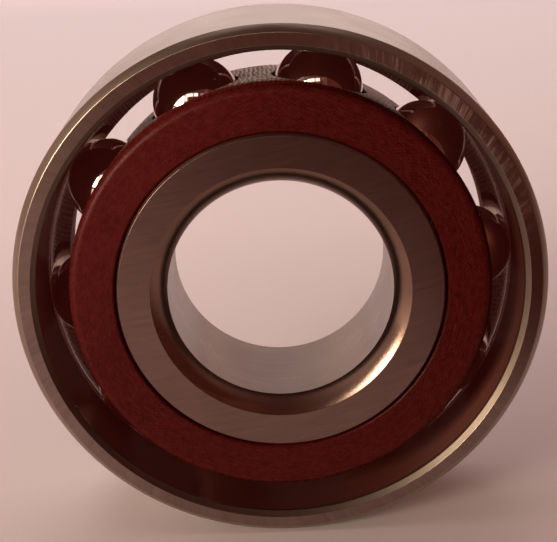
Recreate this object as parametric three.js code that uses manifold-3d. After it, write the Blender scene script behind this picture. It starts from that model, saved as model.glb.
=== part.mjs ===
// Single-row angular contact ball bearing, 20 x 47 x 14 mm, open on both sides.
// Millimetres. The bearing axis is Y, the origin is the bearing's centre and +Z is up.
// The -Y face is the counterbored (thin) side of the outer ring, the +Y face is the
// side with the high outer shoulder that carries the axial load.

import * as THREE from 'three';
import { mergeVertices } from 'three/addons/utils/BufferGeometryUtils.js';
import Module from 'manifold-3d';

// Boundary dimensions
const BORE_R = 20 / 2;
const OUTER_R = 47 / 2;
const WIDTH = 14;
const FRONT = -WIDTH / 2;
const BACK = WIDTH / 2;

// Rolling elements: 5/16 inch balls
const BALL_R = 7.938 / 2;
const BALL_COUNT = 10;
const PITCH_R = 34.5 / 2;
const FIRST_BALL_DEG = 13.2;
const BALL_STEP_DEG = 360 / BALL_COUNT;

// Outer ring
const OUTER_GROOVE_R = 4.13;
const OUTER_GROOVE_BOTTOM_R = 21.26;
const HIGH_SHOULDER_R = 19.75;
const LIP_OFFSET = 0.55;
const COUNTERBORE_MOUTH_R = 21.35;
const MOUTH_CHAMFER_RADIAL = 0.5;
const MOUTH_CHAMFER_AXIAL = 0.45;
const BACK_INNER_CHAMFER = 0.35;
const FRONT_OUTER_CHAMFER_RADIAL = 0.62;
const FRONT_OUTER_CHAMFER_AXIAL = 0.85;
const BACK_OUTER_ROUND = 1.0;

// Inner ring
const INNER_GROOVE_R = 4.1;
const INNER_GROOVE_BOTTOM_R = 13.24;
const LAND_R = 14.38;
const LAND_EDGE = 0.15;
const BORE_CHAMFER_RADIAL = 1.46;
const BORE_CHAMFER_AXIAL = 1.5;

// Cage: one turned ring, drilled radially, running on the inner ring's lands
const CAGE_INNER_R = 14.55;
const CAGE_FRONT_R = 18.65;
const CAGE_BACK_R = 18.05;
const CAGE_FRONT = FRONT + 0.35;
const CAGE_BACK = BACK - 0.5;
const CAGE_OUTER_ROUND = 0.6;
const CAGE_INNER_ROUND = 0.3;
const POCKET_R = 4.25;
const DRILL_FROM_R = 12;
const DRILL_TO_R = 21;

// Chamfers are slightly crowned: how far their surface turns from edge to edge
const CROWN_DEG = 30;

// Faceting: a flat facet of the outer ring lies at the bottom
const RING_SEGMENTS = 72;
const POCKET_SEGMENTS = 30;
const BALL_DETAIL = 4;

const wasm = await Module();
wasm.setup();

function finish(color, roughness, metalness) {
  return new THREE.MeshStandardMaterial({ color, roughness, metalness });
}

const groundSteel = finish(0x8f8580, 0.32, 1.0);
const polishedSteel = finish(0xb4b0ae, 0.06, 1.0);
const fabricPhenolic = finish(0x5a1a18, 0.55, 0.0);

// Points along an elliptical arc in the (radius, axial) half plane, angles in degrees.
function arc(centreR, centreY, radial, axial, fromDeg, toDeg, steps) {
  const points = [];
  for (let i = 0; i <= steps; i += 1) {
    const angle = THREE.MathUtils.degToRad(fromDeg + ((toDeg - fromDeg) * i) / steps);
    const r = centreR + radial * Math.cos(angle);
    const y = centreY + axial * Math.sin(angle);
    points.push(new THREE.Vector2(r, y));
  }
  return points;
}

function point(r, y) {
  return new THREE.Vector2(r, y);
}

// Points of a crowned chamfer from one corner to the other, in the loop's direction:
// a circular arc that bulges away from the metal on its left.
function crownedChamfer(from, to, steps) {
  const halfTurn = THREE.MathUtils.degToRad(CROWN_DEG / 2);
  const chord = to.clone().sub(from);
  const arcR = chord.length() / (2 * Math.sin(halfTurn));
  const towardsMetal = point(-chord.y, chord.x).normalize();
  const centre = from.clone().add(to).multiplyScalar(0.5);
  centre.addScaledVector(towardsMetal, arcR * Math.cos(halfTurn));
  const startDeg = THREE.MathUtils.radToDeg(from.clone().sub(centre).angle());
  return arc(centre.x, centre.y, arcR, arcR, startDeg, startDeg + CROWN_DEG, steps);
}

// Revolves a closed counter-clockwise (radius, axial) loop about Y.
function revolve(loop) {
  const closed = [...loop, loop[0].clone()];
  const halfFacet = Math.PI / RING_SEGMENTS;
  return new THREE.LatheGeometry(closed, RING_SEGMENTS, halfFacet, 2 * Math.PI);
}

// Angle from the groove centre, measured from the radial direction, where the
// groove circle reaches the given radius.
function grooveAngle(centreR, grooveR, atR) {
  return THREE.MathUtils.radToDeg(Math.acos(Math.abs(atR - centreR) / grooveR));
}

// Outer ring: deep groove cut away on the front side down to a small lip, so the
// mouth is an almost cylindrical counterbore; the back shoulder is high.
function outerRingGeometry() {
  const centreR = OUTER_GROOVE_BOTTOM_R - OUTER_GROOVE_R;
  const shoulderDeg = grooveAngle(centreR, OUTER_GROOVE_R, HIGH_SHOULDER_R);
  const lipDeg = THREE.MathUtils.radToDeg(Math.asin(LIP_OFFSET / OUTER_GROOVE_R));
  const faceEdge = point(OUTER_R - FRONT_OUTER_CHAMFER_RADIAL, FRONT);
  const rimEdge = point(OUTER_R, FRONT + FRONT_OUTER_CHAMFER_AXIAL);
  const round = BACK_OUTER_ROUND;
  const loop = [
    ...crownedChamfer(faceEdge, rimEdge, 2),
    ...arc(OUTER_R - round, BACK - round, round, round, 0, 90, 3),
    point(HIGH_SHOULDER_R + BACK_INNER_CHAMFER, BACK),
    point(HIGH_SHOULDER_R, BACK - BACK_INNER_CHAMFER),
    ...arc(centreR, 0, OUTER_GROOVE_R, OUTER_GROOVE_R, shoulderDeg, -lipDeg, 8),
    point(COUNTERBORE_MOUTH_R, FRONT + MOUTH_CHAMFER_AXIAL),
    point(COUNTERBORE_MOUTH_R + MOUTH_CHAMFER_RADIAL, FRONT),
  ];
  return revolve(loop);
}

// Inner ring: symmetric, with a groove between two lands that carry the cage.
function innerRingGeometry() {
  const centreR = INNER_GROOVE_BOTTOM_R + INNER_GROOVE_R;
  const landDeg = grooveAngle(centreR, INNER_GROOVE_R, LAND_R);
  const faceEdgeR = BORE_R + BORE_CHAMFER_RADIAL;
  const axial = BORE_CHAMFER_AXIAL;
  const loop = [
    point(LAND_R - LAND_EDGE, FRONT),
    point(LAND_R, FRONT + LAND_EDGE),
    ...arc(centreR, 0, INNER_GROOVE_R, INNER_GROOVE_R, 180 + landDeg, 180 - landDeg, 8),
    point(LAND_R, BACK - LAND_EDGE),
    point(LAND_R - LAND_EDGE, BACK),
    ...crownedChamfer(point(faceEdgeR, BACK), point(BORE_R, BACK - axial), 3),
    ...crownedChamfer(point(BORE_R, FRONT + axial), point(faceEdgeR, FRONT), 3),
  ];
  return revolve(loop);
}

// Cage blank: a thick tube with rounded edges whose outside narrows slightly
// towards the back, where it passes under the high shoulder.
function cageBlankGeometry() {
  const outer = CAGE_OUTER_ROUND;
  const inner = CAGE_INNER_ROUND;
  const loop = [
    ...arc(CAGE_FRONT_R - outer, CAGE_FRONT + outer, outer, outer, -90, 0, 3),
    ...arc(CAGE_BACK_R - outer, CAGE_BACK - outer, outer, outer, 0, 90, 3),
    point(CAGE_INNER_R + inner, CAGE_BACK),
    point(CAGE_INNER_R, CAGE_BACK - inner),
    point(CAGE_INNER_R, CAGE_FRONT + inner),
    point(CAGE_INNER_R + inner, CAGE_FRONT),
  ];
  return revolve(loop);
}

// Angle of ball k, from +Z towards +X.
function ballAngle(k) {
  return THREE.MathUtils.degToRad(FIRST_BALL_DEG + BALL_STEP_DEG * k);
}

// A radial drill for pocket k.
function drillGeometry(k) {
  const length = DRILL_TO_R - DRILL_FROM_R;
  const drill = new THREE.CylinderGeometry(POCKET_R, POCKET_R, length, POCKET_SEGMENTS);
  drill.rotateX(Math.PI / 2);
  drill.translate(0, 0, (DRILL_FROM_R + DRILL_TO_R) / 2);
  drill.rotateY(ballAngle(k));
  return drill;
}

function toSolid(geometry) {
  const bare = geometry.clone();
  bare.deleteAttribute('normal');
  bare.deleteAttribute('uv');
  const merged = mergeVertices(bare, 1e-5);
  const mesh = new wasm.Mesh({
    numProp: 3,
    vertProperties: Float32Array.from(merged.attributes.position.array),
    triVerts: Uint32Array.from(merged.index.array),
  });
  return new wasm.Manifold(mesh);
}

function toGeometry(solid) {
  const mesh = solid.getMesh();
  const geometry = new THREE.BufferGeometry();
  geometry.setAttribute('position', new THREE.BufferAttribute(mesh.vertProperties, 3));
  geometry.setIndex(new THREE.BufferAttribute(mesh.triVerts, 1));
  geometry.computeVertexNormals();
  return geometry;
}

// Cage: the blank with one round radial pocket for each ball.
function cageGeometry() {
  let solid = toSolid(cageBlankGeometry());
  for (let k = 0; k < BALL_COUNT; k += 1) {
    solid = solid.subtract(toSolid(drillGeometry(k)));
  }
  return toGeometry(solid);
}

function named(name, geometry, material) {
  const mesh = new THREE.Mesh(geometry, material);
  mesh.name = name;
  return mesh;
}

function ballName(k) {
  return `ball_${String(k + 1).padStart(2, '0')}`;
}

function ball(k) {
  const sphere = new THREE.IcosahedronGeometry(BALL_R, BALL_DETAIL);
  const mesh = named(ballName(k), sphere, polishedSteel);
  const angle = ballAngle(k);
  mesh.position.set(PITCH_R * Math.sin(angle), 0, PITCH_R * Math.cos(angle));
  return mesh;
}

const bearing = new THREE.Group();
bearing.name = 'angular_contact_ball_bearing';
bearing.add(named('outer_ring', outerRingGeometry(), groundSteel));
bearing.add(named('inner_ring', innerRingGeometry(), groundSteel));
bearing.add(named('cage', cageGeometry(), fabricPhenolic));
for (let k = 0; k < BALL_COUNT; k += 1) {
  bearing.add(ball(k));
}

export default bearing;
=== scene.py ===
"""Looks of an open angular contact ball bearing, 20 x 47 x 14 mm, standing on its rim.

Metres in Blender, millimetres in the helper functions. The bearing axis is Y, the
counterbored side of the outer ring faces -Y, and +Z is up.
"""
import math

import bmesh
import bpy
from mathutils import Matrix, Vector


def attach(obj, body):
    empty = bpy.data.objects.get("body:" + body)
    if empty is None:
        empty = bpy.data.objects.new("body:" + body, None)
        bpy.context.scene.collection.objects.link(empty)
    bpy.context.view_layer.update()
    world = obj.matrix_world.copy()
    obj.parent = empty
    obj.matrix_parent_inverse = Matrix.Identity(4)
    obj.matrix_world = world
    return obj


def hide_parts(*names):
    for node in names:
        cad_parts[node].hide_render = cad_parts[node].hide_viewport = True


MM = 0.001

# Boundary dimensions, mm
BORE_R = 10.0
OUTER_R = 23.5
FRONT = -7.0
BACK = 7.0

# Balls
BALL_R = 3.969
BALL_COUNT = 10
PITCH_R = 17.25
FIRST_BALL_DEG = 13.2

# Outer ring
OUTER_GROOVE_R = 4.13
OUTER_GROOVE_BOTTOM_R = 21.26
HIGH_SHOULDER_R = 19.75
LIP_OFFSET = 0.55
MOUTH_R = 21.35
MOUTH_CHAMFER = (0.5, 0.45)
RIM_CHAMFER = (0.62, 0.85)
FACE_EDGE_ROUND = 0.11
BACK_ROUND = 1.0
BACK_ROUND_MIDDLE = 0.35
BACK_CHAMFER = 0.35

# Inner ring
INNER_GROOVE_R = 4.1
INNER_GROOVE_BOTTOM_R = 13.24
LAND_R = 14.38
LAND_EDGE = (0.13, 0.16)
BORE_CHAMFER = (1.46, 1.5)

# How far a crowned chamfer turns from edge to edge
CROWN_DEG = 30.0

# Cage
CAGE_INNER_R = 14.55
CAGE_FRONT_R = 18.65
CAGE_BACK_R = 18.05
CAGE_FRONT = -6.65
CAGE_BACK = 6.5
CAGE_OUTER_ROUND = 0.6
CAGE_FRONT_ROUND = 0.8
CAGE_HANGS = 0.14
CAGE_INNER_ROUND = 0.3
CAGE_MEAN_R = 16.6
POCKET_R = 4.25
POCKET_BREAK = 0.1

# Fineness of the meshes
AROUND = 288
SECTOR_STEPS = 24
SKIN_ROWS = 7
SKIN_EASE = 1.3
POCKET_EDGE_STEPS = 3
POCKET_WALL_STEPS = 6
OUTER_ROUND_STEPS = 6
INNER_ROUND_STEPS = 4

# Lay of the finishes: the face grinder's centre (x, z), the mean radius of the outer
# ring's face, and which way (x, z) the thickest strokes with their painted highlight,
# and the painted sheen on the cage's end grain, lie
GRINDER_AT = (-37.0, 172.0)
OUTER_FACE_MEAN_R = 22.0
STROKES_AND_HIGHLIGHT_TOWARDS = (0.71, 0.70)
PAINTED_SHEEN_TOWARDS = (-0.78, 0.63)

# Camera, fitted to the viewing angle: position, lens and sensor in mm, angles in degrees
CAMERA_AT = (-0.05, -112.84, 39.04)
CAMERA_YAW = -0.05
CAMERA_PITCH = 19.14
CAMERA_ROLL = -2.3
CAMERA_LENS = 83.6
CAMERA_SENSOR = 36.0

# The room's soft glow as lobes: direction, sharpness, colour
GLOWS = [
    ((0.0, 0.0, 1.0), 0.0, (0.050, 0.0045, 0.0035)),
    ((0.0, 1.0, 0.05), 11.0, (1.06, 0.84, 0.75)),
    ((-0.7, 0.7, 0.1), 8.0, (0.62, 0.40, 0.31)),
    ((0.7, 0.7, 0.1), 8.0, (0.34, 0.17, 0.12)),
    ((-1.0, 0.0, 0.25), 6.0, (0.18, 0.14, 0.12)),
    ((-0.8, -0.1, 0.55), 6.0, (0.45, 0.36, 0.30)),
    ((0.7, 0.0, 0.7), 6.0, (0.22, 0.14, 0.12)),
    ((0.0, -1.0, 0.1), 6.0, (0.14, 0.04, 0.03)),
]

FLOOR_HALF_M = 3.0

# Windows and cards: where, what they face, size in metres, radiance, spread in degrees
PANELS = [
    ("pane_left", (-0.58, -0.5, 0.185), (-0.58, 0.0, 0.185), (0.50, 0.29), (14.0, 12.3, 9.8), 180.0),
    ("pane_middle", (-0.189, -0.5, 0.265), (-0.189, 0.0, 0.265), (0.211, 0.21), (2.8, 2.5, 2.1), 180.0),
    ("pane_right", (-0.009, -0.5, 0.32), (-0.009, 0.0, 0.32), (0.105, 0.10), (2.8, 2.5, 2.1), 180.0),
    ("far_right", (0.228, -0.5, 0.28), (0.228, 0.0, 0.28), (0.244, 0.18), (0.40, 0.30, 0.25), 180.0),
    ("box_far", (0.0, 0.55, 0.6), (0.0, 0.55, 0.0), (0.9, 0.4), (2.4, 2.15, 2.15), 80.0),
    ("box_left", (-0.2, 0.22, 0.45), (-0.2, 0.22, 0.0), (0.3, 0.3), (0.2, 0.2, 0.2), 60.0),
    ("box_right", (0.2, 0.22, 0.45), (0.2, 0.22, 0.0), (0.3, 0.3), (0.2, 0.2, 0.2), 60.0),
    ("box_middle", (0.0, 0.13, 0.4), (0.0, 0.13, 0.0), (0.2, 0.12), (0.40, 0.36, 0.36), 50.0),
    ("box_front", (-0.25, -0.1, 0.45), (-0.25, -0.1, 0.0), (0.3, 0.3), (0.7, 0.62, 0.6), 60.0),
]

# Cards kept out of the reflections in the steel
UNREFLECTED = ("box_middle", "box_front")

# Whoever looks at the bearing keeps daylight off the floor in front: body, arm and a
# paler strip low on the body, as box corners in mm, with the strength and the colour
# of their own faint glow
ONLOOKER = [
    ((-60.0, -320.0, -4.0), (180.0, -124.0, 80.0), 0.05, (1.0, 0.15, 0.11)),
    ((20.0, -122.0, -16.5), (180.0, -38.0, 60.0), 0.05, (1.0, 0.15, 0.11)),
    ((-60.0, -123.9, -4.0), (180.0, -122.1, 11.0), 0.20, (1.0, 0.42, 0.33)),
]

scene = bpy.context.scene


# ---------------------------------------------------------------- camera, stage, light

def make_camera():
    data = bpy.data.cameras.new("camera")
    data.sensor_width = CAMERA_SENSOR
    data.lens = CAMERA_LENS
    data.clip_start = 0.005
    camera = bpy.data.objects.new("camera", data)
    scene.collection.objects.link(camera)
    yaw, pitch, roll = (math.radians(a) for a in (CAMERA_YAW, CAMERA_PITCH, CAMERA_ROLL))
    forward = Vector((math.sin(yaw) * math.cos(pitch), math.cos(yaw) * math.cos(pitch), -math.sin(pitch)))
    level = forward.cross(Vector((0, 0, 1))).normalized()
    above = level.cross(forward)
    right = level * math.cos(roll) + above * math.sin(roll)
    up = above * math.cos(roll) - level * math.sin(roll)
    turned = Matrix((right, up, -forward)).transposed().to_4x4()
    camera.matrix_world = Matrix.Translation(Vector(CAMERA_AT) * MM) @ turned
    scene.camera = camera


def panel(name, at, aim, size, radiance, spread):
    """A rectangular light. Its colour is the radiance it shows, unseen by the camera."""
    data = bpy.data.lights.new(name, "AREA")
    data.shape = "RECTANGLE"
    data.size, data.size_y = size
    data.spread = math.radians(spread)
    peak = max(radiance)
    data.color = [c / peak for c in radiance]
    data.energy = peak * math.pi * size[0] * size[1]
    lamp = bpy.data.objects.new(name, data)
    scene.collection.objects.link(lamp)
    turned = (Vector(aim) - Vector(at)).to_track_quat("-Z", "Y").to_matrix().to_4x4()
    lamp.matrix_world = Matrix.Translation(Vector(at)) @ turned
    lamp.visible_camera = False
    lamp.visible_glossy = name not in UNREFLECTED


def make_stage(material):
    """The floor, which the outer ring stands on."""
    mesh = bpy.data.meshes.new("floor")
    half, z = FLOOR_HALF_M, -OUTER_R * MM
    corners = [(-half, -half, z), (half, -half, z), (half, half, z), (-half, half, z)]
    mesh.from_pydata(corners, [], [(0, 1, 2, 3)])
    floor = bpy.data.objects.new("floor", mesh)
    scene.collection.objects.link(floor)
    mesh.materials.append(material)


# ---------------------------------------------------------------- node graphs

class Graph:
    """A small builder for one node tree."""

    def __init__(self, owner):
        owner.use_nodes = True
        self.owner = owner
        self.tree = owner.node_tree
        self.shader = self.tree.nodes.get("Principled BSDF")

    def put(self, socket, value):
        if isinstance(value, bpy.types.NodeSocket):
            self.tree.links.new(value, socket)
        else:
            socket.default_value = value

    def node(self, kind, *values, **settings):
        node = self.tree.nodes.new(kind)
        for key, value in settings.items():
            setattr(node, key, value)
        for index, value in enumerate(values):
            if value is not None:
                self.put(node.inputs[index], value)
        return node

    def math(self, operation, a, b=None, c=None):
        return self.node("ShaderNodeMath", a, b, c, operation=operation).outputs[0]

    def plus(self, a, b):
        return self.math("ADD", a, b)

    def times(self, a, b):
        return self.math("MULTIPLY", a, b)

    def along(self, x, z, direction):
        """How far a point (x, z) lies in a direction (x, z)."""
        return self.plus(self.times(x, direction[0]), self.times(z, direction[1]))

    def length(self, a, b):
        return self.math("SQRT", self.plus(self.times(a, a), self.times(b, b)))

    def vector(self, x, y, z):
        return self.node("ShaderNodeCombineXYZ", x, y, z).outputs[0]

    def noise(self, vector, scale=1.0, detail=2.0, rough=0.5):
        node = self.node("ShaderNodeTexNoise")
        self.put(node.inputs["Vector"], vector)
        node.inputs["Scale"].default_value = scale
        node.inputs["Detail"].default_value = detail
        node.inputs["Roughness"].default_value = rough
        return node.outputs[0]

    def spread(self, value, low, high, to_low=0.0, to_high=1.0):
        """value from low to high, drawn out evenly from to_low to to_high and held there."""
        return self.node("ShaderNodeMapRange", value, low, high, to_low, to_high, clamp=True).outputs[0]

    def mix(self, factor, a, b, blend="MIX"):
        node = self.node("ShaderNodeMix", data_type="RGBA", blend_type=blend)
        self.put(node.inputs[0], factor)
        self.put(node.inputs[6], a)
        self.put(node.inputs[7], b)
        return node.outputs[2]

    def shade(self, tint, grey):
        """A colour made darker or lighter by a grey value."""
        return self.mix(1.0, tint, self.vector(grey, grey, grey), blend="MULTIPLY")

    def bump(self, height, depth_mm, under=None):
        node = self.node("ShaderNodeBump")
        node.inputs["Distance"].default_value = depth_mm * MM
        self.put(node.inputs["Height"], height)
        if under is not None:
            self.put(node.inputs["Normal"], under)
        return node.outputs[0]

    def place(self):
        """Position in mm, and round the bearing axis: radius, cos and sin of the angle."""
        coords = self.node("ShaderNodeTexCoord").outputs["Object"]
        at = self.node("ShaderNodeVectorMath", coords, (1 / MM,) * 3, operation="MULTIPLY").outputs[0]
        x, y, z = self.node("ShaderNodeSeparateXYZ", at).outputs
        radius = self.length(x, z)
        return at, x, y, z, radius, self.math("DIVIDE", z, radius), self.math("DIVIDE", x, radius)


def material_graph(name):
    return Graph(bpy.data.materials.new(name))


def colour(r, g, b):
    return (r, g, b, 1.0)


# ---------------------------------------------------------------- room and windows

def make_room():
    world = bpy.data.worlds.new("room")
    scene.world = world
    g = Graph(world)
    towards = g.node("ShaderNodeTexCoord").outputs["Generated"]
    total = (0.0, 0.0, 0.0)
    for direction, sharpness, tint in GLOWS:
        middle = tuple(Vector(direction).normalized())
        near = g.node("ShaderNodeVectorMath", towards, middle, operation="DOT_PRODUCT").outputs["Value"]
        glow = g.math("EXPONENT", g.math("MULTIPLY_ADD", near, sharpness, -sharpness))
        lit = g.node("ShaderNodeVectorMath", tint, operation="SCALE")
        g.put(lit.inputs["Scale"], glow)
        total = g.node("ShaderNodeVectorMath", total, lit.outputs[0], operation="ADD").outputs[0]
    background = g.tree.nodes["Background"]
    g.put(background.inputs["Color"], total)
    background.inputs["Strength"].default_value = 1.0
    for values in PANELS:
        panel(*values)


def make_onlooker():
    """Dark blocks beside and behind the camera, unseen by it, that shade the floor in front."""
    for number, (low, high, glow, tint) in enumerate(ONLOOKER):
        g = material_graph(f"onlooker_{number}")
        g.shader.inputs["Base Color"].default_value = colour(0.12, 0.05, 0.04)
        g.shader.inputs["Roughness"].default_value = 0.8
        g.shader.inputs["Emission Color"].default_value = colour(*tint)
        g.shader.inputs["Emission Strength"].default_value = glow
        low, high = Vector(low) * MM, Vector(high) * MM
        mesh = bpy.data.meshes.new(f"onlooker_{number}")
        shape = bmesh.new()
        bmesh.ops.create_cube(shape, size=1.0)
        shape.to_mesh(mesh)
        shape.free()
        mesh.transform(Matrix.Translation((low + high) / 2) @ Matrix.Diagonal((high - low).to_4d()))
        mesh.materials.append(g.owner)
        block = bpy.data.objects.new(mesh.name, mesh)
        scene.collection.objects.link(block)
        block.visible_camera = False


# ---------------------------------------------------------------- finishes

def painted_red_glow(g):
    """Painted reflection: a faint dark-red glow in the emission, standing in for the red that the cage
    lends to the steel next to it.
    """
    g.shader.inputs["Emission Color"].default_value = colour(1.0, 0.12, 0.09)
    g.shader.inputs["Emission Strength"].default_value = 0.012


def turning_marks(g, cos, sin, y, radius, turns, fine):
    """Stretched round the axis, and fine across it."""
    across = g.times(g.plus(y, g.times(radius, 0.62)), fine)
    return g.vector(g.times(cos, turns), across, g.times(sin, turns))


def oblique_strokes(g, x, z, radius, fine, drift):
    """Fine round the axis and long across the face, turning a little with the radius."""
    turn = g.math("MULTIPLY_ADD", radius, 0.017, g.math("ARCTAN2", x, z))
    u = g.times(g.math("COSINE", turn), OUTER_FACE_MEAN_R * fine)
    v = g.times(g.math("SINE", turn), OUTER_FACE_MEAN_R * fine)
    return g.vector(u, v, g.times(radius, drift))


def grinding_arcs(g, x, z, fine, drift):
    """Long arcs about the face grinder's centre."""
    reach = g.length(g.math("SUBTRACT", x, GRINDER_AT[0]), g.math("SUBTRACT", z, GRINDER_AT[1]))
    return g.vector(g.times(reach, fine), g.times(x, 0.22), g.times(z, drift))


def steel(name, lay, base, tarnish, rough, fine, line_depth, grain_depth=0.0, sweep=0.0):
    """Bearing steel. lay is the direction of its marks: "round" for turning and
    cylindrical grinding, "across" for the long arcs a face grinder leaves, "swirl" for
    short strokes laid obliquely across a ring face, lying thicker towards the upper right
    and painted lighter there as painted highlight. base and tarnish are its clean and
    its filmed colour, in the darker steels with a red cast that is partly painted light,
    rough the range of its roughness, fine how close the marks lie, line_depth and
    grain_depth how deep marks and grain are in mm. sweep spreads highlights across the
    turning marks."""
    g = material_graph(name)
    at, x, y, z, radius, cos, sin = g.place()
    if lay == "round":
        marks = turning_marks(g, cos, sin, y, radius, 2.2, fine)
        coarse = turning_marks(g, cos, sin, y, radius, 1.3, fine * 0.3)
    elif lay == "swirl":
        marks = oblique_strokes(g, x, z, radius, fine, 0.25)
        coarse = oblique_strokes(g, x, z, radius, fine * 0.3, 0.2)
    else:
        marks = grinding_arcs(g, x, z, fine, 0.05)
        coarse = grinding_arcs(g, x, z, fine * 0.28, 0.08)
    lines = g.noise(marks, detail=3.0, rough=0.65)
    bands = g.noise(coarse)
    film = g.noise(at, scale=0.16, detail=3.0, rough=0.55)
    grain = g.noise(at, scale=7.0, detail=3.0, rough=0.6)
    tone = g.mix(g.spread(film, 0.35, 0.7), colour(*base), colour(*tarnish))
    streak = g.spread(g.plus(g.times(lines, 0.6), g.times(bands, 0.4)), 0.32, 0.68, 0.84, 1.16)
    wander = g.plus(g.times(film, 0.5), g.times(g.plus(bands, grain), 0.25))
    blur = g.spread(wander, 0.3, 0.7, *rough)
    if lay == "swirl":
        # Painted highlight: towards the upper right the strokes lie thicker, and they and the face around
        # them are painted lighter, where they catch the light.
        strokes_and_highlight_side = g.spread(g.along(sin, cos, STROKES_AND_HIGHLIGHT_TOWARDS), 0.80, 0.98)
        dense = g.times(strokes_and_highlight_side, g.spread(g.noise(at, scale=0.45), 0.26, 0.48))
        stroke = g.times(g.spread(lines, 0.47, 0.66), dense)
        streak = g.math("MULTIPLY_ADD", stroke, 0.3, streak)
        bright = g.math("MULTIPLY_ADD", stroke, 0.35, g.times(dense, 0.25))
        tone = g.mix(bright, tone, colour(0.60, 0.54, 0.50))
        blur = g.math("MULTIPLY_ADD", stroke, 0.12, g.math("MULTIPLY_ADD", dense, 0.06, blur))
    g.put(g.shader.inputs["Base Color"], g.shade(tone, streak))
    g.shader.inputs["Metallic"].default_value = 1.0
    g.put(g.shader.inputs["Roughness"], blur)
    if name in ("steel_bored", "steel_raceway"):
        painted_red_glow(g)
    if sweep:
        tangent = g.node("ShaderNodeTangent", direction_type="RADIAL", axis="Y").outputs[0]
        g.put(g.shader.inputs["Tangent"], tangent)
        g.shader.inputs["Anisotropic"].default_value = sweep
        g.shader.inputs["Anisotropic Rotation"].default_value = 0.25
    normal = g.bump(lines, line_depth)
    if grain_depth:
        normal = g.bump(grain, grain_depth, under=normal)
    g.put(g.shader.inputs["Normal"], normal)
    return g.owner


def polished_ball():
    g = material_graph("ball_polished")
    at, x, y, z = g.place()[:4]
    film = g.noise(at, scale=0.5, detail=3.0)
    hair = g.noise(g.vector(g.times(x, 9.0), g.times(y, 0.7), g.times(z, 2.0)), detail=3.0)
    tone = g.mix(g.spread(film, 0.35, 0.7), colour(0.56, 0.48, 0.45), colour(0.47, 0.36, 0.33))
    g.put(g.shader.inputs["Base Color"], tone)
    g.shader.inputs["Metallic"].default_value = 1.0
    g.put(g.shader.inputs["Roughness"], g.spread(film, 0.3, 0.75, 0.035, 0.11))
    g.put(g.shader.inputs["Normal"], g.bump(hair, 0.0006))
    painted_red_glow(g)
    return g.owner


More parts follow.
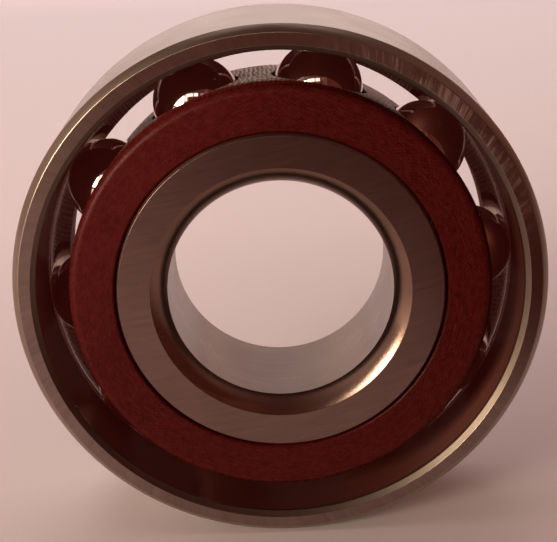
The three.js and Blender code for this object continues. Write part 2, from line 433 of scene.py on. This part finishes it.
def laminate(name, end_grain):
    """Cotton-fabric phenolic: end_grain shows the rolled plies cut across, with a painted
    sheen towards the upper left; otherwise the woven cloth shows on the turned surface,
    pale, with painted shade along the front, where it is painted red."""
    g = material_graph(name)
    at, x, y, z, radius = g.place()[:5]
    wobble = g.times(g.math("SUBTRACT", g.noise(at, scale=0.9), 0.5), 0.7)
    arc = g.times(g.math("ARCTAN2", x, z), CAGE_MEAN_R)

    def threads_along(where, pitch):
        return g.math("SINE", g.times(g.plus(where, wobble), pitch))

    if end_grain:
        crossed = g.times(threads_along(radius, 17.0), threads_along(arc, 14.0))
        cloth = g.math("MULTIPLY_ADD", crossed, 0.5, 0.5)
        woven = 0.12
    else:
        crossed = g.plus(threads_along(arc, 17.0), g.times(threads_along(y, 6.6), 0.25))
        cloth = g.math("MULTIPLY_ADD", crossed, 0.38, 0.5)
        woven = 0.28
    mottle = g.noise(at, scale=1.6, detail=4.0, rough=0.65)
    stain = g.noise(at, scale=0.3)
    fluff = g.noise(at, scale=6.0, detail=4.0, rough=0.7)
    drawn = g.vector(g.times(arc, 1.4), g.times(radius, 5.0), g.times(y, 5.0))
    tufts = g.noise(drawn, detail=3.0, rough=0.6)
    uneven = g.times(g.plus(tufts, mottle), 0.5 - woven / 2)
    shown = g.spread(g.plus(g.times(cloth, woven), uneven), 0.38, 0.66)
    fibre = g.spread(g.plus(g.times(fluff, 0.6), g.times(tufts, 0.4)), 0.60, 0.70)

    def cured(resins, threads, bright, share):
        resin = g.mix(g.spread(stain, 0.3, 0.7), colour(*resins[0]), colour(*resins[1]))
        thread = g.mix(g.spread(mottle, 0.35, 0.65), colour(*threads[0]), colour(*threads[1]))
        return g.mix(g.times(fibre, share), g.mix(shown, resin, thread), colour(*bright))

    dulled = g.plus(g.times(shown, 0.6), g.times(mottle, 0.4))
    if end_grain:
        red = cured(((0.048, 0.0031, 0.0027), (0.036, 0.0024, 0.0021)),
                    ((0.106, 0.0098, 0.0090), (0.073, 0.0064, 0.0058)), (0.24, 0.068, 0.058), 0.55)
        # Painted sheen: the end grain is painted a lighter red towards the upper left, where light catches
        # it.
        upper_left = g.spread(g.along(x, z, PAINTED_SHEEN_TOWARDS), 8.0, 16.0)
        painted_sheen = g.times(upper_left, g.spread(mottle, 0.2, 0.8, 0.12, 0.38))
        g.put(g.shader.inputs["Base Color"], g.mix(painted_sheen, red, colour(0.150, 0.0185, 0.0165)))
        g.put(g.shader.inputs["Roughness"], g.spread(dulled, 0.2, 0.8, 0.18, 0.40))
        g.shader.inputs["Specular IOR Level"].default_value = 0.15
        g.shader.inputs["Specular Tint"].default_value = colour(1.0, 0.62, 0.55)
    else:
        red = cured(((0.16, 0.012, 0.010), (0.12, 0.009, 0.008)),
                    ((0.28, 0.030, 0.026), (0.20, 0.020, 0.017)), (0.34, 0.11, 0.09), 0.55)
        pale = cured(((0.42, 0.30, 0.27), (0.28, 0.18, 0.16)),
                     ((0.86, 0.69, 0.63), (0.70, 0.53, 0.48)), (0.90, 0.78, 0.72), 0.6)
        # Painted shade: towards the front the skin is painted red, as shade where its front edge rounds
        # off; further back it is pale.
        pale_past_painted_shade = g.spread(g.plus(y, g.times(mottle, 1.6)), -3.6, -0.9)
        lit = g.times(pale_past_painted_shade, g.spread(shown, 0.0, 0.9, 0.45, 1.0))
        g.put(g.shader.inputs["Base Color"], g.mix(pale_past_painted_shade, red, pale))
        g.put(g.shader.inputs["Roughness"], g.spread(dulled, 0.2, 0.8, 0.58, 0.28))
        g.put(g.shader.inputs["Specular IOR Level"], lit)
        g.put(g.shader.inputs["Metallic"], g.times(lit, 0.75))
        g.put(g.shader.inputs["Sheen Weight"], lit)
        g.shader.inputs["Sheen Roughness"].default_value = 0.2
        g.shader.inputs["Sheen Tint"].default_value = colour(1.0, 0.85, 0.80)
    relief = g.plus(g.times(cloth, woven), g.plus(g.times(fluff, 0.35), g.times(tufts, 0.3)))
    g.put(g.shader.inputs["Normal"], g.bump(relief, 0.055 if end_grain else 0.10))
    return g.owner


def pale_floor():
    g = material_graph("floor_paper")
    at, x, y = g.place()[:3]
    cloud = g.noise(at, scale=0.012)
    tooth = g.noise(at, scale=3.0, detail=3.0)
    paper = g.mix(cloud, colour(0.775, 0.66, 0.645), colour(0.76, 0.665, 0.655))
    # Painted shade: darker behind the bearing, and bright again far off, where its outside reflects it
    far = g.math("MAXIMUM", g.spread(y, 90.0, 350.0, 1.0, 0.62), g.spread(y, 450.0, 900.0))
    g.put(g.shader.inputs["Base Color"], g.shade(paper, far))
    g.shader.inputs["Roughness"].default_value = 0.75
    g.shader.inputs["Specular IOR Level"].default_value = 0.25
    g.put(g.shader.inputs["Normal"], g.bump(tooth, 0.01))
    return g.owner


# ---------------------------------------------------------------- revolved outlines

def crowned(start, end, steps, finish, after):
    """A chamfer that bulges slightly, turning by CROWN_DEG from edge to edge."""
    half = math.radians(CROWN_DEG / 2)
    dr, dy = end[0] - start[0], end[1] - start[1]
    chord = math.hypot(dr, dy)
    size = chord / (2 * math.sin(half))
    inset = size * math.cos(half) / chord
    cr = (start[0] + end[0]) / 2 - dy * inset
    cy = (start[1] + end[1]) / 2 + dr * inset
    first = math.degrees(math.atan2(start[1] - cy, start[0] - cr))
    return bow(cr, cy, size, size, first, first + CROWN_DEG, steps, finish, after)


def unit(dr, dy):
    size = math.hypot(dr, dy)
    return dr / size, dy / size


def corner(r, y, fillet=0.0, finish=0):
    """A corner of an outline. finish belongs to the fillet and the line after it."""
    return {"kind": "corner", "first": (r, y), "last": (r, y), "fillet": fillet, "finish": finish}


def bow(cr, cy, radial, axial, start, end, steps, finish, after=None):
    """An elliptical arc, angles in degrees. after is the finish of the line that follows."""
    points = []
    for i in range(steps + 1):
        a = math.radians(start + (end - start) * i / steps)
        c, s = math.cos(a), math.sin(a)
        points.append(((cr + radial * c, cy + axial * s), (c / radial, s / axial)))
    return {"kind": "bow", "first": points[0][0], "last": points[-1][0], "points": points,
            "hollow": end < start, "finish": finish, "after": finish if after is None else after}


def outline(elements):
    """Closed counter-clockwise loop of corners and arcs in (radius, axial), as short
    segments: start, end, normal at start, normal at end, finish."""
    pieces = []
    count = len(elements)
    for i, e in enumerate(elements):
        if e["kind"] == "bow":
            sign = -1.0 if e["hollow"] else 1.0
            run = [(p, unit(sign * n[0], sign * n[1])) for p, n in e["points"]]
            pieces.append((run, e["finish"], e["after"]))
            continue
        before = elements[i - 1]["last"]
        beyond = elements[(i + 1) % count]["first"]
        r, y = e["first"]
        into = unit(r - before[0], y - before[1])
        out = unit(beyond[0] - r, beyond[1] - y)
        n_in = (into[1], -into[0])
        n_out = (out[1], -out[0])
        turn = math.atan2(into[0] * out[1] - into[1] * out[0], into[0] * out[0] + into[1] * out[1])
        if e["fillet"] <= 0.0 or abs(turn) < 1e-4:
            pieces.append(([((r, y), n_in), ((r, y), n_out)], e["finish"], e["finish"]))
            continue
        cut = e["fillet"] * math.tan(abs(turn) / 2)
        side = 1.0 if turn > 0 else -1.0
        start = (r - into[0] * cut, y - into[1] * cut)
        centre = (start[0] - side * n_in[0] * e["fillet"], start[1] - side * n_in[1] * e["fillet"])
        steps = max(3, int(abs(math.degrees(turn)) / 12))
        run = []
        for k in range(steps + 1):
            c, s = math.cos(turn * k / steps), math.sin(turn * k / steps)
            n = (n_in[0] * c - n_in[1] * s, n_in[0] * s + n_in[1] * c)
            run.append(((centre[0] + side * n[0] * e["fillet"], centre[1] + side * n[1] * e["fillet"]), n))
        pieces.append((run, e["finish"], e["finish"]))
    segments = []
    for i, (run, finish, after) in enumerate(pieces):
        for (p0, n0), (p1, n1) in zip(run, run[1:]):
            if math.dist(p0, p1) > 1e-7:
                segments.append((p0, p1, n0, n1, finish))
        p0 = run[-1][0]
        p1 = pieces[(i + 1) % len(pieces)][0][0][0]
        if math.dist(p0, p1) > 1e-7:
            d = unit(p1[0] - p0[0], p1[1] - p0[1])
            n = (d[1], -d[0])
            segments.append((p0, p1, n, n, after))
    return segments


def mesh_from_quads(name, quads, materials):
    """quads: four (position mm, normal) corners and a finish index each. Shared corners
    are welded, faces are turned to their normals, and the normals are kept as given."""
    index = {}
    verts = []
    faces = []
    normals = []
    finishes = []
    for corners, finish in quads:
        a, b, c, d = (Vector(p) for p, _ in corners)
        if (c - a).cross(d - b).dot(Vector(corners[0][1]) + Vector(corners[2][1])) < 0:
            corners = corners[::-1]
        face = []
        kept = []
        for p, n in corners:
            key = (round(p[0], 4), round(p[1], 4), round(p[2], 4))
            if key not in index:
                index[key] = len(verts)
                verts.append((p[0] * MM, p[1] * MM, p[2] * MM))
            if index[key] not in face:
                face.append(index[key])
                kept.append(n)
        if len(face) > 2:
            faces.append(face)
            normals.extend(kept)
            finishes.append(finish)
    mesh = bpy.data.meshes.new(name)
    mesh.from_pydata(verts, [], faces)
    for material in materials:
        mesh.materials.append(material)
    mesh.polygons.foreach_set("material_index", finishes)
    mesh.polygons.foreach_set("use_smooth", [True] * len(faces))
    mesh.update()
    mesh.normals_split_custom_set([Vector(n).normalized() for n in normals])
    piece = bpy.data.objects.new(name, mesh)
    scene.collection.objects.link(piece)
    return piece


def around(r, y, angle):
    return (r * math.sin(angle), y, r * math.cos(angle))


def revolved(name, segments, materials):
    quads = []
    for p0, p1, n0, n1, finish in segments:
        for j in range(AROUND):
            a0 = 2 * math.pi * j / AROUND
            a1 = 2 * math.pi * (j + 1) / AROUND
            ring = []
            for (p, n, a) in ((p0, n0, a0), (p0, n0, a1), (p1, n1, a1), (p1, n1, a0)):
                ring.append((around(p[0], p[1], a), around(n[0], n[1], a)))
            quads.append((ring, finish))
    return mesh_from_quads(name, quads, materials)


def groove_angle(centre, groove, radius):
    return math.degrees(math.acos(abs(radius - centre) / groove))


# Finish slots of the steel rings, and of the cage
FACE, RIM, TURNED, RACE, HONED, SWIRL, CHAMFER, BORE, EDGE, MOUTH = range(10)
END_GRAIN, CLOTH = range(2)


def make_outer_ring(materials):
    centre = OUTER_GROOVE_BOTTOM_R - OUTER_GROOVE_R
    shoulder = groove_angle(centre, OUTER_GROOVE_R, HIGH_SHOULDER_R)
    lip = math.degrees(math.asin(LIP_OFFSET / OUTER_GROOVE_R))
    face_edge = (OUTER_R - RIM_CHAMFER[0] + 0.03, FRONT + 0.025)
    rim_edge = (OUTER_R, FRONT + RIM_CHAMFER[1])
    segments = outline([
        bow(face_edge[0] - 0.069, FRONT + FACE_EDGE_ROUND, FACE_EDGE_ROUND, FACE_EDGE_ROUND,
            -90, -51, 4, EDGE, TURNED),
        crowned(face_edge, rim_edge, 8, TURNED, RIM),
        corner(OUTER_R, BACK - BACK_ROUND, 0.5, TURNED),
        corner(OUTER_R - BACK_ROUND_MIDDLE, BACK - BACK_ROUND_MIDDLE, 0.35, TURNED),
        corner(OUTER_R - BACK_ROUND, BACK, 0.12, SWIRL),
        corner(HIGH_SHOULDER_R + BACK_CHAMFER, BACK, 0.05, TURNED),
        corner(HIGH_SHOULDER_R, BACK - BACK_CHAMFER, 0.08, HONED),
        bow(centre, 0, OUTER_GROOVE_R, OUTER_GROOVE_R, shoulder, -lip, 28, RACE, HONED),
        corner(MOUTH_R, FRONT + MOUTH_CHAMFER[1], 0.3, MOUTH),
        corner(MOUTH_R + MOUTH_CHAMFER[0], FRONT, 0.05, SWIRL),
    ])
    return revolved("outer_ring_steel", segments, materials)


def make_inner_ring(materials):
    centre = INNER_GROOVE_BOTTOM_R + INNER_GROOVE_R
    land = groove_angle(centre, INNER_GROOVE_R, LAND_R)
    face_r = BORE_R + BORE_CHAMFER[0]
    axial = BORE_CHAMFER[1]
    segments = outline([
        corner(LAND_R - LAND_EDGE[0], FRONT, 0.05, FACE),
        corner(LAND_R, FRONT + LAND_EDGE[1], 0.06, HONED),
        bow(centre, 0, INNER_GROOVE_R, INNER_GROOVE_R, 180 + land, 180 - land, 24, RACE, HONED),
        corner(LAND_R, BACK - LAND_EDGE[1], 0.06, TURNED),
        corner(LAND_R - LAND_EDGE[0], BACK, 0.04, FACE),
        crowned((face_r, BACK), (BORE_R, BACK - axial), 12, CHAMFER, BORE),
        crowned((BORE_R, FRONT + axial), (face_r, FRONT), 12, CHAMFER, FACE),
    ])
    return revolved("inner_ring_steel", segments, materials)


# ---------------------------------------------------------------- cage

def cage_outer_r(y):
    t = (y - CAGE_FRONT) / (CAGE_BACK - CAGE_FRONT)
    return CAGE_FRONT_R + (CAGE_BACK_R - CAGE_FRONT_R) * t


def cage_inner_r(y):
    """The bore of the cage is straight, the same radius all along."""
    return CAGE_INNER_R


def cage_walk(low, high, per_side):
    """Once round a sector's edge, as (angle share -1..1, y), anticlockwise from the front left."""
    walk = []
    for k in range(per_side):
        walk.append((-1 + 2 * k / per_side, low))
    for k in range(per_side):
        walk.append((1.0, low + (high - low) * k / per_side))
    for k in range(per_side):
        walk.append((1 - 2 * k / per_side, high))
    for k in range(per_side):
        walk.append((-1.0, high - (high - low) * k / per_side))
    return walk


def make_cage(materials):
    """A turned ring with one round radial pocket for each ball, built sector by sector.
    It hangs down a little, almost resting on the top of the inner ring's lands."""
    half = math.pi / BALL_COUNT
    quads = []

    def skin(radius_of, outward, low, high, centre):
        """The inner or outer skin of one sector, from its edge to the pocket's broken edge."""
        walk = cage_walk(low, high, SECTOR_STEPS)
        reach = POCKET_R + POCKET_BREAK
        grid = []
        for share, y in walk:
            phi = math.atan2(y, share * half * CAGE_MEAN_R)
            hole_y = reach * math.sin(phi)
            hole_a = math.asin(reach * math.cos(phi) / radius_of(hole_y))
            line = []
            for k in range(SKIN_ROWS + 1):
                t = (k / SKIN_ROWS) ** SKIN_EASE
                yy = y + (hole_y - y) * t
                aa = share * half + (hole_a - share * half) * t
                r = radius_of(yy)
                n = around(outward, 0.0, centre + aa)
                line.append((around(r, yy, centre + aa), n))
            grid.append((phi, line))
        return grid

    def rounded_edge(phi, radius_of, outward, centre, k):
        """A point of the pocket's broken edge, k steps from the skin towards the wall."""
        t = 0.5 * math.pi * k / POCKET_EDGE_STEPS
        rho = POCKET_R + POCKET_BREAK * (1 - math.sin(t))
        deep = POCKET_BREAK * (1 - math.cos(t))
        a, y = rho * math.cos(phi), rho * math.sin(phi)
        height = math.sqrt(radius_of(y) ** 2 - a * a) - outward * deep
        radial = Vector(around(1, 0, centre))
        across = Vector(around(1, 0, centre + math.pi / 2))
        p = radial * height + across * a + Vector((0, y, 0))
        inward = across * -math.cos(phi) + Vector((0, -math.sin(phi), 0))
        skin_n = Vector((p.x, 0, p.z)).normalized() * outward
        return tuple(p), tuple(skin_n * math.cos(t) + inward * math.sin(t))

    def band(strips, finish):
        for line, following in zip(strips, strips[1:]):
            for k in range(len(line) - 1):
                quads.append(([line[k], line[k + 1], following[k + 1], following[k]], finish))

    sides = ((CAGE_FRONT, -1.0, CAGE_FRONT_ROUND), (CAGE_BACK, 1.0, CAGE_OUTER_ROUND))
    for pocket in range(BALL_COUNT):
        centre = math.radians(FIRST_BALL_DEG) + 2 * half * pocket
        low_o, high_o = CAGE_FRONT + CAGE_FRONT_ROUND, CAGE_BACK - CAGE_OUTER_ROUND
        low_i, high_i = CAGE_FRONT + CAGE_INNER_ROUND, CAGE_BACK - CAGE_INNER_ROUND
        outer = skin(cage_outer_r, 1.0, low_o, high_o, centre)
        inner = skin(cage_inner_r, -1.0, low_i, high_i, centre)
        for grid in (outer, inner):
            lines = [line for _, line in grid]
            band(lines + lines[:1], CLOTH)
        tube = []
        steps = range(POCKET_EDGE_STEPS + 1)
        for (phi, _), (phi_i, _) in zip(outer, inner):
            top = [rounded_edge(phi, cage_outer_r, 1.0, centre, k) for k in steps]
            bottom = [rounded_edge(phi_i, cage_inner_r, -1.0, centre, k) for k in reversed(steps)]
            (start, normal), (end, _) = top[-1], bottom[0]
            drop = []
            for k in range(1, POCKET_WALL_STEPS):
                drop.append((tuple(Vector(start).lerp(Vector(end), k / POCKET_WALL_STEPS)), normal))
            tube.append(top + drop + bottom)
        band(tube + tube[:1], END_GRAIN)
        for y_edge, way, rounding in sides:
            strips = []
            for k in range(SECTOR_STEPS + 1):
                a = centre + half * (-1 + 2 * k / SECTOR_STEPS)
                r_edge = cage_outer_r(y_edge - way * rounding)
                line = []
                for m in range(OUTER_ROUND_STEPS + 1):
                    t = 0.5 * math.pi * m / OUTER_ROUND_STEPS
                    r = r_edge - rounding * (1 - math.cos(t))
                    y = y_edge - way * rounding * (1 - math.sin(t))
                    line.append((around(r, y, a), around(math.cos(t), way * math.sin(t), a)))
                for m in range(INNER_ROUND_STEPS + 1):
                    t = 0.5 * math.pi * m / INNER_ROUND_STEPS
                    r = CAGE_INNER_R + CAGE_INNER_ROUND * (1 - math.sin(t))
                    y = y_edge - way * CAGE_INNER_ROUND * (1 - math.cos(t))
                    line.append((around(r, y, a), around(-math.sin(t), way * math.cos(t), a)))
                strips.append(line)
            band(strips, END_GRAIN)
    piece = mesh_from_quads("cage_laminate", quads, materials)
    piece.data.transform(Matrix.Translation((0.0, 0.0, -CAGE_HANGS * MM)))
    return piece


# ---------------------------------------------------------------- balls

def make_ball(k, material):
    """A ball in pocket k, with its facets turned a way of their own."""
    mesh = bpy.data.meshes.new(f"steel_ball_{k + 1:02d}")
    shape = bmesh.new()
    bmesh.ops.create_icosphere(shape, subdivisions=5, radius=BALL_R * MM)
    shape.to_mesh(mesh)
    shape.free()
    mesh.materials.append(material)
    mesh.polygons.foreach_set("use_smooth", [True] * len(mesh.polygons))
    ball = bpy.data.objects.new(mesh.name, mesh)
    scene.collection.objects.link(ball)
    angle = math.radians(FIRST_BALL_DEG + 360 / BALL_COUNT * k)
    turn = Matrix.Rotation(1.1 * k, 4, "X") @ Matrix.Rotation(0.7 * k, 4, "Z")
    mesh.transform(Matrix.Translation(Vector(around(PITCH_R, 0, angle)) * MM) @ turn)
    return ball


# ---------------------------------------------------------------- assembly

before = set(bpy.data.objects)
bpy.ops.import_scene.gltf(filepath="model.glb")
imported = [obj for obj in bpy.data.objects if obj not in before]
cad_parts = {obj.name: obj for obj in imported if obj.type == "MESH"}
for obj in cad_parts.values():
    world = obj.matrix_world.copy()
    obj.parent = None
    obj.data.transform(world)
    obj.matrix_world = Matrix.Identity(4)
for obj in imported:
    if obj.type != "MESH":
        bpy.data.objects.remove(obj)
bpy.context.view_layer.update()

scene.view_settings.view_transform = "Standard"
make_camera()
make_room()
make_stage(pale_floor())
make_onlooker()

clean = (0.54, 0.53, 0.53)
oiled = (0.50, 0.48, 0.47)
# Painted light: the red cast of the darker steel colours below is partly the turned and filmed steel's own
# tone and partly a faint red veil of light over the whole view, and the face steels are darkened as
# painted shade of the front.
steels = [
    steel("steel_face_ground", "across", (0.262, 0.178, 0.158), (0.233, 0.155, 0.138),
          (0.17, 0.24), 9.0, 0.002),
    steel("steel_cylinder_ground", "round", clean, oiled, (0.24, 0.34), 16.0, 0.001),
    steel("steel_turned_edge", "round", (0.31, 0.235, 0.19), (0.27, 0.20, 0.16),
          (0.26, 0.38), 6.0, 0.003, 0.004),
    steel("steel_raceway", "round", clean, oiled, (0.07, 0.13), 20.0, 0.0003),
    # Painted shade and painted reflection: the bored steel is dark red for the shade in the recesses it
    # lines and for the red cage it reflects.
    steel("steel_bored", "round", (0.123, 0.042, 0.030), (0.106, 0.036, 0.026),
          (0.50, 0.58), 8.0, 0.002, sweep=0.8),
    steel("steel_face_stroked", "swirl", (0.29, 0.215, 0.195), (0.26, 0.19, 0.17),
          (0.18, 0.25), 3.2, 0.003),
    steel("steel_bore_chamfer", "round", (0.30, 0.195, 0.155), (0.26, 0.165, 0.125),
          (0.15, 0.23), 6.0, 0.004, 0.009),
    steel("steel_bore", "round", (0.295, 0.255, 0.238), (0.27, 0.225, 0.212),
          (0.24, 0.34), 16.0, 0.001),
    steel("steel_edge", "round", (0.42, 0.36, 0.28), (0.36, 0.30, 0.23),
          (0.18, 0.26), 6.0, 0.001),
    steel("steel_mouth", "round", (0.20, 0.15, 0.118), (0.17, 0.125, 0.095),
          (0.28, 0.38), 6.0, 0.003, 0.004),
]

outer_ring = make_outer_ring(steels)
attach(outer_ring, "outer_ring")
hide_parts("outer_ring")

inner_ring = make_inner_ring(steels)
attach(inner_ring, "inner_ring")
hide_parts("inner_ring")

cage = make_cage([laminate("laminate_end_grain", True), laminate("laminate_cloth", False)])
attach(cage, "cage")
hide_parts("cage")

ball_finish = polished_ball()
for number in range(BALL_COUNT):
    steel_ball = make_ball(number, ball_finish)
    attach(steel_ball, f"ball_{number + 1:02d}")
    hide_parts(f"ball_{number + 1:02d}")
